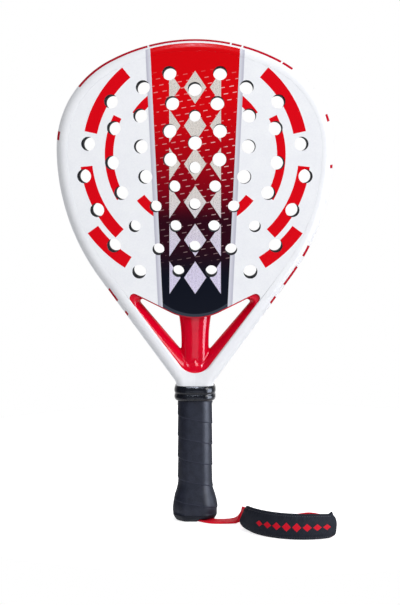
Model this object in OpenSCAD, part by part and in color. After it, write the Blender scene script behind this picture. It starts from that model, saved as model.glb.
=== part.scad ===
// Padel racket, standing on its butt: +Z runs up the handle to the crown,
// the front face looks to -Y, and the wrist strap lies on the floor to +X.

/* [Head] */
// Width of the head at its widest
head_w = 258.5; // [244:0.5:264]
// Thickness of the head, front face to back face
head_depth = 38; // [36:0.5:38]
// Radius of the crown arc
crown_r = 171.5; // [160:0.5:190]
// Radius of the shoulder arcs
shoulder_r = 92; // [84:1:98]
// Radius of the side arcs, from the widest point down to the arms
side_r = 205; // [190:1:220]
// Lean of the two arms from the vertical, in degrees
arm_lean = 36; // [35:0.5:38]

/* [Frame tube] */
// Width of the tube round the head, seen from the front
tube_w = 11; // [10:0.5:14]
// Width of the arms where they run into the neck
arm_w = 12.9; // [10:0.1:14]
// Carbon wall of the tube
wall = 1.8; // [1.2:0.1:2.2]
// Radius of the tube's rounded outer edges
edge_r = 9; // [6:0.5:10]
// Width of the neck at the collar
neck_w = 34.8; // [33.6:0.1:35.6]
// Depth of the neck at the collar
neck_depth = 29.4; // [28:0.2:31]
// Radius of the curve from each arm into the neck
neck_r = 13.4; // [12:0.2:24]

/* [Faces and core] */
// Thickness of each carbon face
skin_t = 1; // [0.6:0.1:1.6]
// Diameter of the large holes
hole_d = 13; // [10:0.5:14]
// Diameter of the small holes
small_hole_d = 11; // [8:0.5:12]
// Height of the faces' lower edge above the neck
sill_h = 68; // [66:0.5:72]
// Radius of that edge's middle
sill_r = 52; // [44:1:70]
// Slope of that edge towards the arms, in degrees
sill_slope = 26.5; // [22:0.5:30]

/* [Throat] */
// Height of the bridge bar behind the faces
bar_h = 6; // [5:0.5:9]
// Height of the bridge bar's lip below the faces
bar_lip = 1.4; // [1:0.2:4]
// Radius of the bottom of the V between the arms
v_r = 17; // [15:0.5:20]
// Width of the lining at the top of the V
lining_top_w = 4.4; // [3:0.1:7]
// Width of the lining where the arms run into the V
lining_w = 9.2; // [6:0.1:11]
// Height of the lining over the floor of the V
lining_foot_w = 13; // [10:0.5:15]
// Width of the stem where it meets the bridge bar
stem_top_w = 29; // [24:0.5:34]
// Width of the stem at its waist
stem_w = 26; // [20:0.2:28]
// Depth of the stem
stem_depth = 23; // [20:0.5:28]
// Radius of the faces' corners over the throat
corner_r = 4.2; // [3:0.2:8]
// Radius of the upper corners of the two openings
opening_r = 3.5; // [2:0.5:4]

/* [Handle] */
// Height of the neck's lower end above the butt
handle_len = 128.8; // [120:0.2:135]
// Width of the bare handle, under the tape
handle_w = 29.4; // [28.6:0.2:30]
// Depth of the bare handle, under the tape
handle_depth = 24.4; // [23.8:0.2:25]
// Leg of the handle's 45 degree bevels
bevel = 5.4; // [4.6:0.2:5.8]
// Wall of the pallets over the tube's legs
pallet_wall = 2; // [1.6:0.1:2.4]
// Radius of the edges of the tube's legs
leg_r = 4; // [3.6:0.1:5]

/* [Grip] */
// Thickness of the tape at its raised lower edge
tape_t = 1.9; // [1.4:0.1:2.2]
// Thickness of the tape at its tucked upper edge
tape_tuck_t = 1.4; // [1:0.1:1.6]
// Height from one turn of tape to the next
tape_pitch = 20.2; // [16:0.2:26]
// Gap between neighbouring turns
tape_gap = 0.6; // [0.5:0.1:1]
// Height of the collar
collar_h = 14; // [12:0.5:18]
// Wall of the collar on its ribs
collar_t = 1.9; // [1.4:0.1:2.4]

/* [Butt] */
// How far the butt flares out from the grip
flare_w = 4.9; // [4:0.1:6]
// Height of the butt's widest place
flare_z = 12; // [10:0.5:14]
// Height where the flare starts
flare_top = 38; // [34:1:44]
// How far the butt draws in again at its foot
foot_round = 6; // [4:0.5:7]
// Height of the cap's bare rim below the tape
rim_h = 6.5; // [5:0.5:8]
// Height of the cap
cap_h = 30; // [26:1:32]
// Thickness of the cap's floor, strap channel included
cap_floor = 6; // [5.5:0.5:7]

/* [Strap] */
// Width of the webbing
web_w = 15; // [12:0.5:16]
// Thickness of the webbing
web_t = 1.8; // [1.2:0.1:2]
// Height of the middle of the loop's webbing above the floor
web_z = 9.6; // [9:0.1:10]
// Radius of the rolled end that holds the webbing in the cap
knot_r = 3.2; // [2.8:0.1:3.4]
// Height of the padded sleeve
pad_h = 24; // [22:0.5:28]
// Height of the sleeve at its two ends
pad_end_h = 22; // [19:0.2:24]
// Radius of the sleeve's curve, at the webbing
pad_r = 50; // [48:0.5:52]
// Thickness of the sleeve outside the webbing
pad_out_t = 4.2; // [3.4:0.1:5]
// Thickness of the sleeve inside the webbing
pad_in_t = 2.4; // [2.2:0.1:3]
// Thickness of the sleeve's lining
lining_t = 1.3; // [1:0.1:1.8]

/* [Hidden] */

// Clearance between bonded pieces, and between pieces that move
fit = 0.15;
free = 0.35;
far = 400;

// Colours
paint_white = [0.93, 0.94, 0.96];
paint_red = [0.82, 0.02, 0.08];
foam_slate = [0.18, 0.20, 0.24];
rubber_black = [0.08, 0.09, 0.12];
tape_slate = [0.17, 0.18, 0.23];
foam_grey = [0.35, 0.36, 0.38];

// Shared functions
function mix(a, b, t) = a + (b - a) * t;
function polar(c, r, a) = [c[0] + r * cos(a), c[1] + r * sin(a)];
function unit(v) = v / norm(v);
function flip(pts) = [for (i = [len(pts) - 1:-1:0]) pts[i]];
function across(p) = [-p[0], p[1]];
function clamp(v, low, high) = min(max(v, low), high);

// Outline: crown, shoulder and side arcs, a straight arm and a curve into the neck
lean_out = [cos(arm_lean), -sin(arm_lean)];
arm_top_x = head_w / 2 - side_r + side_r * cos(arm_lean);
neck_c = [neck_w / 2 + neck_r, handle_len];
arm_top_z = handle_len - ((neck_c[0] - arm_top_x) * cos(arm_lean) - neck_r) / sin(arm_lean);
arm_top = [arm_top_x, arm_top_z];
arm_end = neck_c - neck_r * lean_out;
widest_z = arm_top_z + side_r * sin(arm_lean);
side_c = [head_w / 2 - side_r, widest_z];
shoulder_c = [head_w / 2 - shoulder_r, widest_z];
crown_rise = sqrt(pow(crown_r - shoulder_r, 2) - pow(shoulder_c[0], 2));
crown_c = [0, widest_z - crown_rise];
crown_a = atan2(crown_rise, shoulder_c[0]);
racket_len = crown_c[1] + crown_r;

// The tube's inner line narrows down each arm and rounds the bottom of the V
in_top = arm_top - tube_w * lean_out;
in_end = arm_end - arm_w * lean_out;
in_dir = unit(in_end - in_top);
in_out = [-in_dir[1], in_dir[0]];
v_c = [0, in_top[1] - (v_r - in_out[0] * in_top[0]) / in_out[1]];
v_touch = v_c + v_r * in_out;
v_a = atan2(in_out[1], in_out[0]);

// Ribs across the tube: outer point, inner point, half depth, outer and inner edge radius
crown_steps = 5;
shoulder_steps = 12;
side_steps = 8;
arm_steps = 5;
neck_steps = 4;
half_depth = head_depth / 2;
inner_r = 1.2;
arm_inner_r = 2.5;
leg_inner_r = 0.6;
least_flat = 0.6;
bore_round = 0.6;
bore_inner_r = 0.8;
arm_half_depth = neck_depth / 2 + 1.5;
leg_gap = 0.3;
leg_run_in = 1;
leg_over_floor = 10;
collar_over_neck = 1.6;
leg_x = handle_w / 2 - pallet_wall;
leg_y = handle_depth / 2 - pallet_wall;
leg_foot = cap_floor + leg_over_floor;
collar_foot = handle_len - collar_h + collar_over_neck;
function edge(w, q) = min(edge_r, w - q - least_flat);
function arc_ribs(c, r, a0, a1, n) = [
    for (i = [0:n - 1])
        let (a = mix(a0, a1, i / n))
        [polar(c, r, a), polar(c, r - tube_w, a), half_depth, edge_r, inner_r]
];
arm_full = 0.4;
function arm_half(t) = mix(half_depth, arm_half_depth, max(t - arm_full, 0) / (1 - arm_full));
function arm_rib(t) =
    let (o = mix(arm_top, arm_end, t), i = mix(in_top, v_touch, t), q = mix(inner_r, arm_inner_r, t))
    [o, i, arm_half(t), edge(norm(o - i), q), q];
function neck_rib(t) =
    let (o = polar(neck_c, neck_r, mix(180 - arm_lean, 180, t)))
    let (v = polar(v_c, v_r, mix(v_a, -90, t)))
    let (i = [max(v[0], leg_gap / 2), v[1]])
    [o, i, mix(arm_half_depth, neck_depth / 2, t), edge(norm(o - i), arm_inner_r), arm_inner_r];
function leg_rib(x, z, h, r) = [[x, z], [leg_gap / 2, z], h, r, leg_inner_r];
right_ribs = concat(
    arc_ribs(crown_c, crown_r, 90, crown_a, crown_steps),
    arc_ribs(shoulder_c, shoulder_r, crown_a, 0, shoulder_steps),
    arc_ribs(side_c, side_r, 0, -arm_lean, side_steps),
    [for (i = [0:arm_steps - 1]) arm_rib(i / arm_steps)],
    [for (i = [0:neck_steps]) neck_rib(i / neck_steps)],
    [
        leg_rib(neck_w / 2, handle_len - leg_run_in, neck_depth / 2, edge_r),
        leg_rib(leg_x, collar_foot - leg_run_in, leg_y, leg_r),
        leg_rib(leg_x, leg_foot, leg_y, leg_r)
    ]
);
function mirrored(rib) = [across(rib[0]), across(rib[1]), rib[2], rib[3], rib[4]];
frame_ribs = concat(
    [for (i = [len(right_ribs) - 1:-1:1]) mirrored(right_ribs[i])],
    right_ribs
);
function on_rib(rib, d, y) =
    let (p = rib[0] + d * unit(rib[1] - rib[0]))
    [p[0], y, p[1]];
function ring(rib, half) = concat(
    [for (p = half) on_rib(rib, p[0], p[1])],
    [for (p = flip(half)) on_rib(rib, p[0], -p[1])]
);
edge_steps = 4;
function tube_ring(rib) =
    let (w = norm(rib[1] - rib[0]), h = rib[2], r = rib[3], q = rib[4])
    ring(rib, concat(
        [for (k = [0:edge_steps]) [r, h - r] + r * [-cos(90 * k / edge_steps), sin(90 * k / edge_steps)]],
        [[w - q, h], [w, h - q]]
    ));
function bore_ring(rib) =
    let (w = norm(rib[1] - rib[0]), h = rib[2] - wall, r = rib[3] * bore_round, q = bore_inner_r)
    ring(rib, [[wall, h - r], [wall + r, h], [w - wall - q, h], [w - wall, h - q]]);

// Inside of the hoop, and the curved lower edge of the faces
function inside(gap) =
    let (side = concat(
        [for (i = [0:crown_steps + shoulder_steps + side_steps])
            right_ribs[i][1] - gap * unit(right_ribs[i][0] - right_ribs[i][1])],
        [v_touch - gap * in_out]
    ))
    concat(side, [for (p = flip(side)) if (p[0] > 0) across(p)]);
sill_z = handle_len + sill_h;
sill_x = sill_r * sin(sill_slope);
sill_side = [sill_x, sill_z + sill_r * (1 - cos(sill_slope))];
sill_end = far / 2;
sill_steps = 6;
sill_line = concat(
    [[-sill_end, sill_side[1] + (sill_end - sill_x) * tan(sill_slope)]],
    [for (i = [-sill_steps:sill_steps])
        polar([0, sill_z + sill_r], sill_r, -90 + sill_slope * i / sill_steps)],
    [[sill_end, sill_side[1] + (sill_end - sill_x) * tan(sill_slope)]]
);
function lifted(rise) = [for (p = sill_line) p + [0, rise]];

// Corner between the lower edge, lowered by drop, and the right arm's inner line, less a gap:
// the middle of a circle of radius r that touches both, and the arc of it in the corner
sill_down = [sin(sill_slope), -cos(sill_slope)];
function corner_c(r, drop, gap) =
    let (a = sill_down * sill_side + drop * cos(sill_slope) + r, b = in_out * in_top - gap - r)
    let (turn = sill_down[0] * in_out[1] - sill_down[1] * in_out[0])
    [a * in_out[1] - b * sill_down[1], b * sill_down[0] - a * in_out[0]] / turn;
bend_steps = 6;
function corner_arc(r, drop, gap) = [
    for (k = [0:bend_steps])
        polar(corner_c(r, drop, gap), r, mix(90 + sill_slope, v_a, k / bend_steps))
];

// Hole pattern: half spacing, height over the widest place, and 1 for a small hole
holes = [
    [23.5, 69.5, 0], [48, 56.5, 0], [0, 55, 0], [77.5, 43.5, 0], [21, 42, 0], [50.5, 30.5, 0],
    [0, 30.5, 1], [75, 19, 0], [23.5, 16.5, 0], [99, 4.5, 0], [50, 2, 0], [0, 5.5, 0],
    [77, -13, 0], [23, -10, 0], [0, -17.5, 1], [103, -25.5, 0], [46, -26, 0], [19, -35, 1],
    [68.5, -41, 0], [0, -51.5, 1], [36.5, -53.5, 1], [91, -57, 0], [56, -72, 1], [18, -72, 1],
    [75.5, -90, 0], [34, -93.5, 1], [0, -91, 1], [52, -114.5, 0], [15.5, -114, 1]
];

// Handle section: an octagon, moved outwards by a chosen amount
function octagon(off) =
    let (w = handle_w / 2 + off, d = handle_depth / 2 + off, c = bevel + off * (2 - sqrt(2)))
    [
        [w, d - c], [w, c - d], [w - c, -d], [c - w, -d],
        [-w, c - d], [-w, d - c], [c - w, d], [w - c, d]
    ];
function flare(z) =
    z > flare_top ? 0 :
    z > flare_z ? flare_w * (1 + cos(180 * (z - flare_z) / (flare_top - flare_z))) / 2 :
    flare_w - foot_round * (1 - sqrt(1 - pow(1 - max(z, 0) / flare_z, 2)));
function level(pts, z) = [for (p = pts) [p[0], p[1], z]];
corner_steps = 4;
function rounded(w, d, r) = [
    for (q = [0:3], k = [0:corner_steps])
        let (a = 90 * (q + k / corner_steps))
        [(q == 0 || q == 3 ? 1 : -1) * (w - r), (q < 2 ? 1 : -1) * (d - r)] + r * [cos(a), sin(a)]
];

// Tape: stations round the octagon, three to a side, rising with the length travelled
tape_foot = rim_h + free;
tape_under_collar = 2;
tape_head = collar_foot + tape_under_collar;
tape_width = tape_pitch - tape_gap;
side_rings = 3;
turn_rings = 8 * side_rings;
tape_corners = octagon(tape_t);
tape_sides = [for (k = [0:7]) norm(tape_corners[(k + 1) % 8] - tape_corners[k])];
function sum_to(list, n) = n == 0 ? 0 : list[n - 1] + sum_to(list, n - 1);
tape_round = sum_to(tape_sides, 8);
function travelled(i) =
    let (k = floor((i % turn_rings) / side_rings), t = (i % side_rings) / side_rings)
    floor(i / turn_rings) + (sum_to(tape_sides, k) + t * tape_sides[k]) / tape_round;
function on_tape(i, off, z) =
    let (k = floor((i % turn_rings) / side_rings), t = (i % side_rings) / side_rings)
    let (o = octagon(off + flare(z)), p = mix(o[k], o[(k + 1) % 8], t))
    [p[0], p[1], z];
tape_end = 2;
tape_hollow = 0.1;
tape_shares = [0, 0.25, 0.5, 0.75, 1];
tape_from = tape_foot - tape_width / 2 + tape_end;
tape_turns = (tape_head - tape_foot + tape_width - 2 * tape_end) / tape_pitch;
tape_rings = [
    for (i = [0:floor(tape_turns * turn_rings)])
        let (z = tape_from + tape_pitch * travelled(i))
        let (low = clamp(z - tape_width / 2, tape_foot, tape_head - tape_end))
        let (high = clamp(z + tape_width / 2, tape_foot + tape_end, tape_head))
        concat(
            [on_tape(i, tape_t - tape_hollow, mix(low, high, 0.5)), on_tape(i, tape_t, low)],
            [for (s = tape_shares) on_tape(i, fit, mix(low, high, s))],
            [on_tape(i, tape_tuck_t, high)]
        )
];
tape_least_gap = min([
    for (i = [0:len(tape_rings) - turn_rings - 1])
        for (a = tape_rings[i], b = tape_rings[i + turn_rings]) norm(a - b)
]);
echo(racket_len = racket_len, tape_turns = tape_turns, tape_least_gap = tape_least_gap);

// Strap: the webbing lies flat in the cap's channel, turns on edge and runs round a loop
strap_lift = 0.35;
web_flat_z = strap_lift + web_t / 2;
hinge_out = 1;
channel_a = -45;
butt_corner = octagon(tape_t + flare_w)[2];
hinge_r = (butt_corner[0] - butt_corner[1]) / sqrt(2) + hinge_out;
hinge = hinge_r * [cos(channel_a), sin(channel_a)];
channel_side = 1.5;
channel_over = 1.05;
channel_w = web_w + 2 * channel_side;
channel_h = strap_lift + web_t + channel_over;
knot_z = cap_floor + knot_r + fit;
loop_c = [98.6, -33];
// Plan places, height and roll of the lead beyond its swivel, then of the loop's return strand
lead_route = [
    [22, -16.3, web_flat_z, 0], [29, -16, web_flat_z, 0], [36, -15.4, 1.6, 2], [39.6, -15.2, 2.6, 10],
    [42.2, -16.2, 6.4, 52], [44, -18.6, 8.6, 80], [46.4, -23.4, 9.5, 90]
];
return_route = [
    [128.1, -72.2, web_z, 90], [128.3, -69.4, web_z, 90], [126.6, -65.6, web_z, 90], [122.8, -60, web_z, 90],
    [115.5, -51.4, 9.5, 90], [106.5, -45.5, 9.4, 88], [95, -43.8, 8.5, 70], [81, -42.5, 8.2, 64],
    [68, -38.5, 8.4, 68], [59, -33.5, 9, 80], [53.8, -29, web_z, 90], [50.9, -26, web_z, 90]
];
loop_start_a = 180;
loop_end_a = 304.5;
loop_steps = 15;
loop_route = concat(
    [[48.5, -29, web_z, 90]],
    [for (i = [0:loop_steps])
        let (p = polar(loop_c, pad_r, mix(loop_start_a, loop_end_a, i / loop_steps)))
        [p[0], p[1], web_z, 90]],
    return_route
);
function place(p) = [p[0], p[1], p[2]];
function heading(route, i) =
    let (a = route[max(i - 1, 0)], b = route[min(i + 1, len(route) - 1)])
    unit([b[0] - a[0], b[1] - a[1], 0]);
web_soft = 0.5;
function web_ring(p, dir, half) =
    let (left = [-dir[1], dir[0], 0], up = [0, 0, 1])
    let (u = left * cos(p[3]) + up * sin(p[3]), v = up * cos(p[3]) - left * sin(p[3]))
    let (t = web_t / 2, s = min(web_soft, half / 2))
    [
        for (c = [[half - s, -t], [s - half, -t], [-half, s - t], [-half, t - s],
                  [s - half, t], [half - s, t], [half, t - s], [half, s - t]])
            place(p) + c[0] * u + c[1] * v
    ];
swivel_r = web_w / 2;
swing = 60;
swivel_bore = swivel_r + free;
// The tail's tip is narrow enough for the lead's edges to swing past it
tip_taper = 3;
tip_half = swivel_r * cos(swing) + sqrt(pow(swivel_bore, 2) - pow(swivel_r, 2)) * sin(swing) - free;
tail_side = [
    [-web_t / 2, web_w / 2], [hinge_r - swivel_r - tip_taper, web_w / 2],
    [hinge_r - swivel_r, tip_half], [hinge_r, tip_half]
];
swivel_a = [76, 60, 42, 22, 0];
lead_rings = concat(
    [for (a = swivel_a)
        web_ring([hinge[0] - swivel_r * sin(a), hinge[1], web_flat_z, 0], [1, 0, 0], swivel_r * cos(a))],
    [for (i = [0:len(lead_route) - 1]) web_ring(lead_route[i], heading(lead_route, i), web_w / 2)]
);
loop_rings = concat(
    [lead_rings[len(lead_rings) - 1]],
    [for (i = [0:len(loop_route) - 1]) web_ring(loop_route[i], heading(loop_route, i), web_w / 2)]
);

// Sleeve: a crowned section along the loop's arc, lower towards its ends
pad_start_a = 187;
pad_end_a = 304;
pad_steps = 18;
pad_rest = 0.4;
function pad_place(a, off, z) = concat(polar(loop_c, pad_r + off, a), z);
function pad_top(t) = pad_rest + mix(pad_end_h, pad_h, 1 - pow(abs(2 * t - 1), 3));
// Crown of the sleeve's outside: share of the height, share of the thickness
pad_crown = [[0, 0.3], [0.06, 0.72], [0.25, 0.96], [0.5, 1], [0.75, 0.96], [0.94, 0.72], [1, 0.3]];
end_draw = 0.28;
function draw_in(t) = 1 - end_draw * pow(abs(2 * t - 1), 8);
pad_rings = [
    for (i = [0:pad_steps])
        let (t = i / pad_steps, a = mix(pad_start_a, pad_end_a, t), top = pad_top(t))
        concat(
            [for (c = pad_crown) pad_place(a, pad_out_t * c[1] * draw_in(t), mix(pad_rest, top, c[0]))],
            [for (c = [[1, 0.5], [0.96, 1], [0.04, 1], [0, 0.5]])
                pad_place(a, -pad_in_t * c[1], mix(pad_rest, top, c[0]))]
        )
];
slot_rings = [
    for (i = [-1:pad_steps + 1])
        let (a = mix(pad_start_a, pad_end_a, i / pad_steps), s = web_t / 2 + free, h = web_w / 2 + free)
        [for (c = [[s, -h], [s, h], [-s, h], [-s, -h]]) pad_place(a, c[0], web_z + c[1])]
];
lining_hem = 2;
lining_edge_t = lining_t * 0.4;
lining_rings = [
    for (i = [0:pad_steps])
        let (t = i / pad_steps, a = mix(pad_start_a, pad_end_a, t), top = pad_top(t) - lining_hem)
        let (r = -pad_in_t - fit, foot = pad_rest + lining_hem)
        [
            pad_place(a, r, foot), pad_place(a, r, top), pad_place(a, r - lining_edge_t, top),
            pad_place(a, r - lining_t, mix(foot, top, 0.75)),
            pad_place(a, r - lining_t, mix(foot, top, 0.25)),
            pad_place(a, r - lining_edge_t, foot)
        ]
];

// Skin a list of rings: open runs are capped, closed runs join their ends
module loft(rings, closed = false) {
    n = len(rings[0]);
    m = len(rings);
    walls = [
        for (i = [0:m - (closed ? 1 : 2)], j = [0:n - 1])
            let (k = (j + 1) % n, next = (i + 1) % m)
            each [[i * n + j, i * n + k, next * n + k], [i * n + j, next * n + k, next * n + j]]
    ];
    caps = closed ? [] : [
        for (j = [1:n - 2]) each [[0, j + 1, j], [(m - 1) * n, (m - 1) * n + j, (m - 1) * n + j + 1]]
    ];
    polyhedron([for (r = rings) each r], concat(walls, caps));
}

// A plate in the plane of the head, from one depth to another
module plate(from_y, to_y) {
    translate([0, to_y, 0])
        rotate([90, 0, 0])
            linear_extrude(to_y - from_y)
                children();
}

// Everything under the faces' lower edge, lifted by a chosen amount
module under_sill(rise) {
    polygon(concat(lifted(rise), [[sill_end, -far], [-sill_end, -far]]));
}

module drill_pattern() {
    for (h = holes, side = h[0] > 0 ? [-1, 1] : [1])
        translate([side * h[0], widest_z + h[1]])
            circle(d = h[2] > 0 ? small_hole_d : hole_d, $fn = 48);
}

// Space under the faces, with rounded upper corners
module throat_space() {
    corner = corner_arc(corner_r, 0, 0);
    low = [far, -far];
    polygon(concat(
        [for (p = flip(corner)) across(p)],
        [for (i = [1:len(sill_line) - 2]) sill_line[i]],
        corner,
        [[low[0], corner[bend_steps][1]], low, across(low), [-low[0], corner[bend_steps][1]]]
    ));
}

module face_outline() {
    difference() {
        polygon(inside(fit));
        children();
        drill_pattern();
    }
}

module bar_strip(low, high, gap) {
    intersection() {
        polygon(inside(gap));
        difference() {
            under_sill(high);
            under_sill(low);
        }
    }
}

module frame_tube() {
    color(paint_white)
        difference() {
            loft([for (rib = frame_ribs) tube_ring(rib)]);
            loft([for (i = [1:len(frame_ribs) - 2]) bore_ring(frame_ribs[i])]);
        }
}

module foam_core() {
    color(foam_slate)
        plate(skin_t - half_depth, half_depth - skin_t)
            face_outline()
                under_sill(bar_h + fit);
}

module front_face() {
    color(paint_white)
        plate(-half_depth, skin_t - half_depth)
            face_outline()
                throat_space();
}

module back_face() {
    color(paint_white)
        plate(half_depth - skin_t, half_depth)
            face_outline()
                throat_space();
}

module bridge_bar() {
    deep = half_depth - skin_t;
    lip_back = 1;
    color(paint_red)
        difference() {
            union() {
                plate(-deep, deep)
                    bar_strip(0, bar_h, fit);
                plate(lip_back - deep, deep - lip_back)
                    bar_strip(-bar_lip, 0, arm_inner_r);
            }
            plate(wall - deep, deep - wall)
                bar_strip(wall, bar_h - wall, fit + wall);
        }
}

// Lining of the V: a flank that slopes from the arm's edge to a ridge in the opening.
// Profile of the flank, then of the V's floor: share of the width, share of the half depth
lining_flank = [[0, 1], [0.5, 0.8], [0.88, 0.5], [1, 0.3]];
floor_flank = [[0, 1], [0.5, 0.98], [0.88, 0.92], [1, 0.6]];
function lining_rib(o, dir, w, h, flank) = [
    for (c = concat(flank, [for (f = flip(flank)) [f[0], -f[1]]]))
        let (p = o + (fit + w * c[0]) * dir)
        [p[0], c[1] * h, p[1]]
];
lining_steps = 6;
lining_from = 0.3;
lining_side = concat(
    [for (i = [0:lining_steps - 1])
        let (t = i / lining_steps, u = mix(lining_from, 1, t))
        lining_rib(mix(in_top, v_touch, u), -in_out, mix(lining_top_w, lining_w, t),
            arm_half(u) - arm_inner_r, lining_flank)],
    [for (i = [0:neck_steps])
        let (t = i / neck_steps, a = mix(v_a, -90, t))
        lining_rib(polar(v_c, v_r, a), -[cos(a), sin(a)], mix(lining_w, lining_foot_w, t),
            arm_half_depth - arm_inner_r, mix(lining_flank, floor_flank, t))]
);
corner_half_depth = (half_depth - arm_inner_r) / 2;
opening_corner = concat(
    [corner_c(0, 0, lining_top_w)],
    corner_arc(opening_r, bar_lip + fit, lining_top_w)
);
// Stem: a rounded post that spreads to the bar above
stem_over_v = 2;
stem_foot_z = v_c[1] - sqrt(pow(v_r, 2) - pow(stem_w / 2, 2)) + stem_over_v;
stem_top_z = sill_side[1];
stem_steps = 7;
stem_sides = 20;
stem_waist = 0.4;
stem_spread = 3;
stem_square = 0.72;
function soft_round(v) = sign(v) * pow(abs(v), stem_square);
stem_rings = [
    for (i = [0:stem_steps])
        let (t = i / stem_steps, spread = pow(max(t - stem_waist, 0) / (1 - stem_waist), 2))
        let (w = mix(stem_w, stem_top_w + stem_spread, spread) / 2)
        let (d = (stem_depth + stem_spread * pow(max(2 * t - 1, 0), 3)) / 2)
        [for (k = [0:stem_sides - 1])
            let (a = -360 * k / stem_sides)
            [w * soft_round(cos(a)), d * soft_round(sin(a)), mix(stem_foot_z, stem_top_z, t)]]
];

module throat_yoke() {
    left_side = [for (i = [0:len(lining_side) - 2]) [for (p = lining_side[i]) [-p[0], p[1], p[2]]]];
    color(paint_red)
        intersection() {
            union() {
                loft(concat(lining_side, flip(left_side)));
                loft(stem_rings);
                for (side = [0, 1])
                    mirror([side, 0, 0])
                        plate(-corner_half_depth, corner_half_depth)
                            polygon(opening_corner);
            }
            plate(-far, far)
                under_sill(-bar_lip - fit);
        }
}

pallet_lap = 2;
module pallet(side) {
    foot = leg_foot - pallet_lap;
    color(foam_grey)
        translate([0, 0, foot])
            difference() {
                linear_extrude(collar_foot - pallet_lap - foot)
                    difference() {
                        polygon(octagon(0));
                        polygon(rounded(leg_x + fit, leg_y + fit, leg_r));
                    }
                translate([-handle_w, side > 0 ? -handle_depth : 0, -1])
                    cube([2 * handle_w, handle_depth, handle_len]);
            }
}

module pallet_front() { pallet(-1); }

module pallet_back() { pallet(1); }

module grip_tape() {
    color(tape_slate)
        loft(tape_rings);
}

finishing_t = 0.5;
finishing_in = 0.3;
module finishing_tape() {
    inner = tape_t + fit;
    outer = inner + finishing_t;
    foot = collar_foot + finishing_in;
    color(rubber_black)
        loft([
            for (k = [0:7])
                [for (c = [[inner, foot], [inner, tape_head], [outer, tape_head], [outer, foot]])
                    concat(octagon(c[0])[k], c[1])]
        ], closed = true);
}

// Collar: a rubber ring with two ribs, stretched over the end of the tape
wrapped = 2 * (tape_t + fit + finishing_t);
collar_x = max(neck_w, handle_w + wrapped) / 2 + free;
collar_y = max(neck_depth, handle_depth + wrapped) / 2 + free;
collar_corner = 6.5;
// Profile of the outside: share of the height, share of the wall
collar_ribs = [[0, 0.35], [0.06, 0.8], [0.25, 1], [0.44, 0.85], [0.5, 0.62], [0.56, 0.85],
               [0.76, 1], [0.94, 0.75], [1, 0.3]];
collar_rings = [
    for (k = [0:4 * (corner_steps + 1) - 1])
        concat(
            [for (c = collar_ribs)
                let (off = collar_t * c[1], z = collar_foot + c[0] * collar_h)
                concat(rounded(collar_x + off, collar_y + off, collar_corner + off)[k], z)],
            [for (z = [collar_h, 0]) concat(rounded(collar_x, collar_y, collar_corner)[k], collar_foot + z)]
        )
];

module grip_collar() {
    color(rubber_black)
        loft(collar_rings, closed = true);
}

// Cap: a flared cup with a bare rim, a slot for the webbing and a channel to one corner
cap_rim = [0, 0.08, 0.25, 0.55, 1];
cap_wall_steps = 6;
cap_rings = concat(
    [for (t = cap_rim) level(octagon(tape_t + flare(t * rim_h)), t * rim_h)],
    [for (i = [0:cap_wall_steps])
        let (z = mix(rim_h, cap_h, i / cap_wall_steps))
        level(octagon(flare(z) - fit), z)]
);

module butt_cap() {
    color(rubber_black)
        difference() {
            loft(cap_rings);
            translate([0, 0, cap_floor])
                linear_extrude(cap_h)
                    polygon(octagon(fit));
            rotate([0, 0, channel_a]) {
                translate([-web_t / 2 - free, -web_w / 2 - free, -1])
                    cube([web_t + 2 * free, web_w + 2 * free, cap_floor + 2]);
                translate([-web_t / 2 - free, -channel_w / 2, -1])
                    cube([far, channel_w, channel_h + 1]);
            }
        }
}

module strap_knot() {
    color(paint_red)
        rotate([0, 0, channel_a])
            translate([0, web_w / 2, knot_z])
                rotate([90, 0, 0])
                    cylinder(r = knot_r, h = web_w, $fn = 32);
}

module strap_tail() {
    color(paint_red)
        rotate([0, 0, channel_a])
            difference() {
                union() {
                    translate([0, 0, strap_lift])
                        linear_extrude(web_t)
                            polygon(concat(tail_side, [for (p = flip(tail_side)) [p[0], -p[1]]]));
                    translate([-web_t / 2, -web_w / 2, strap_lift])
                        cube([web_t, web_w, knot_z - knot_r - strap_lift]);
                }
                translate([hinge_r, 0, -1])
                    cylinder(r = swivel_bore, h = web_w, $fn = 48);
            }
}

module strap_lead() {
    color(paint_red)
        loft(lead_rings);
}

module strap_loop() {
    color(paint_red)
        loft(loop_rings);
}

module pad_cover() {
    color(rubber_black)
        difference() {
            loft(pad_rings);
            loft(slot_rings);
        }
}

module pad_lining() {
    color(foam_grey)
        loft(lining_rings);
}

frame_tube();
foam_core();
front_face();
back_face();
bridge_bar();
throat_yoke();
pallet_front();
pallet_back();
grip_tape();
finishing_tape();
grip_collar();
butt_cap();
strap_knot();
strap_tail();
strap_lead();
strap_loop();
pad_cover();
pad_lining();
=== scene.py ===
import math

import bmesh
import bpy
import numpy as np
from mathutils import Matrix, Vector


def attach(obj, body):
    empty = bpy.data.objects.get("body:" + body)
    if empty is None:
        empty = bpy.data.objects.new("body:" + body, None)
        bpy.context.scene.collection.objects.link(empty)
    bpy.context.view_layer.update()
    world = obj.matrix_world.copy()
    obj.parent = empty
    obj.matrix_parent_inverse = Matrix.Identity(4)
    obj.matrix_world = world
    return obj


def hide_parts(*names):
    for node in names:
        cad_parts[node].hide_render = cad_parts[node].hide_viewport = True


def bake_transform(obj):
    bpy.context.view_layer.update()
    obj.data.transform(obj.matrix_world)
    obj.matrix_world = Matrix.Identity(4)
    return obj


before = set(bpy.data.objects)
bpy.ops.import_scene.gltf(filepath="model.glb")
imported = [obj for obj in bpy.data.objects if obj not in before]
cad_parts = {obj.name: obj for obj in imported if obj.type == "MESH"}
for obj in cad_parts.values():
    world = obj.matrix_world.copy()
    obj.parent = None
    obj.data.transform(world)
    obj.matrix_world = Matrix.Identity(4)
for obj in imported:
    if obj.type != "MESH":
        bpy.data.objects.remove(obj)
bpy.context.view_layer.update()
scene = bpy.context.scene
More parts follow.
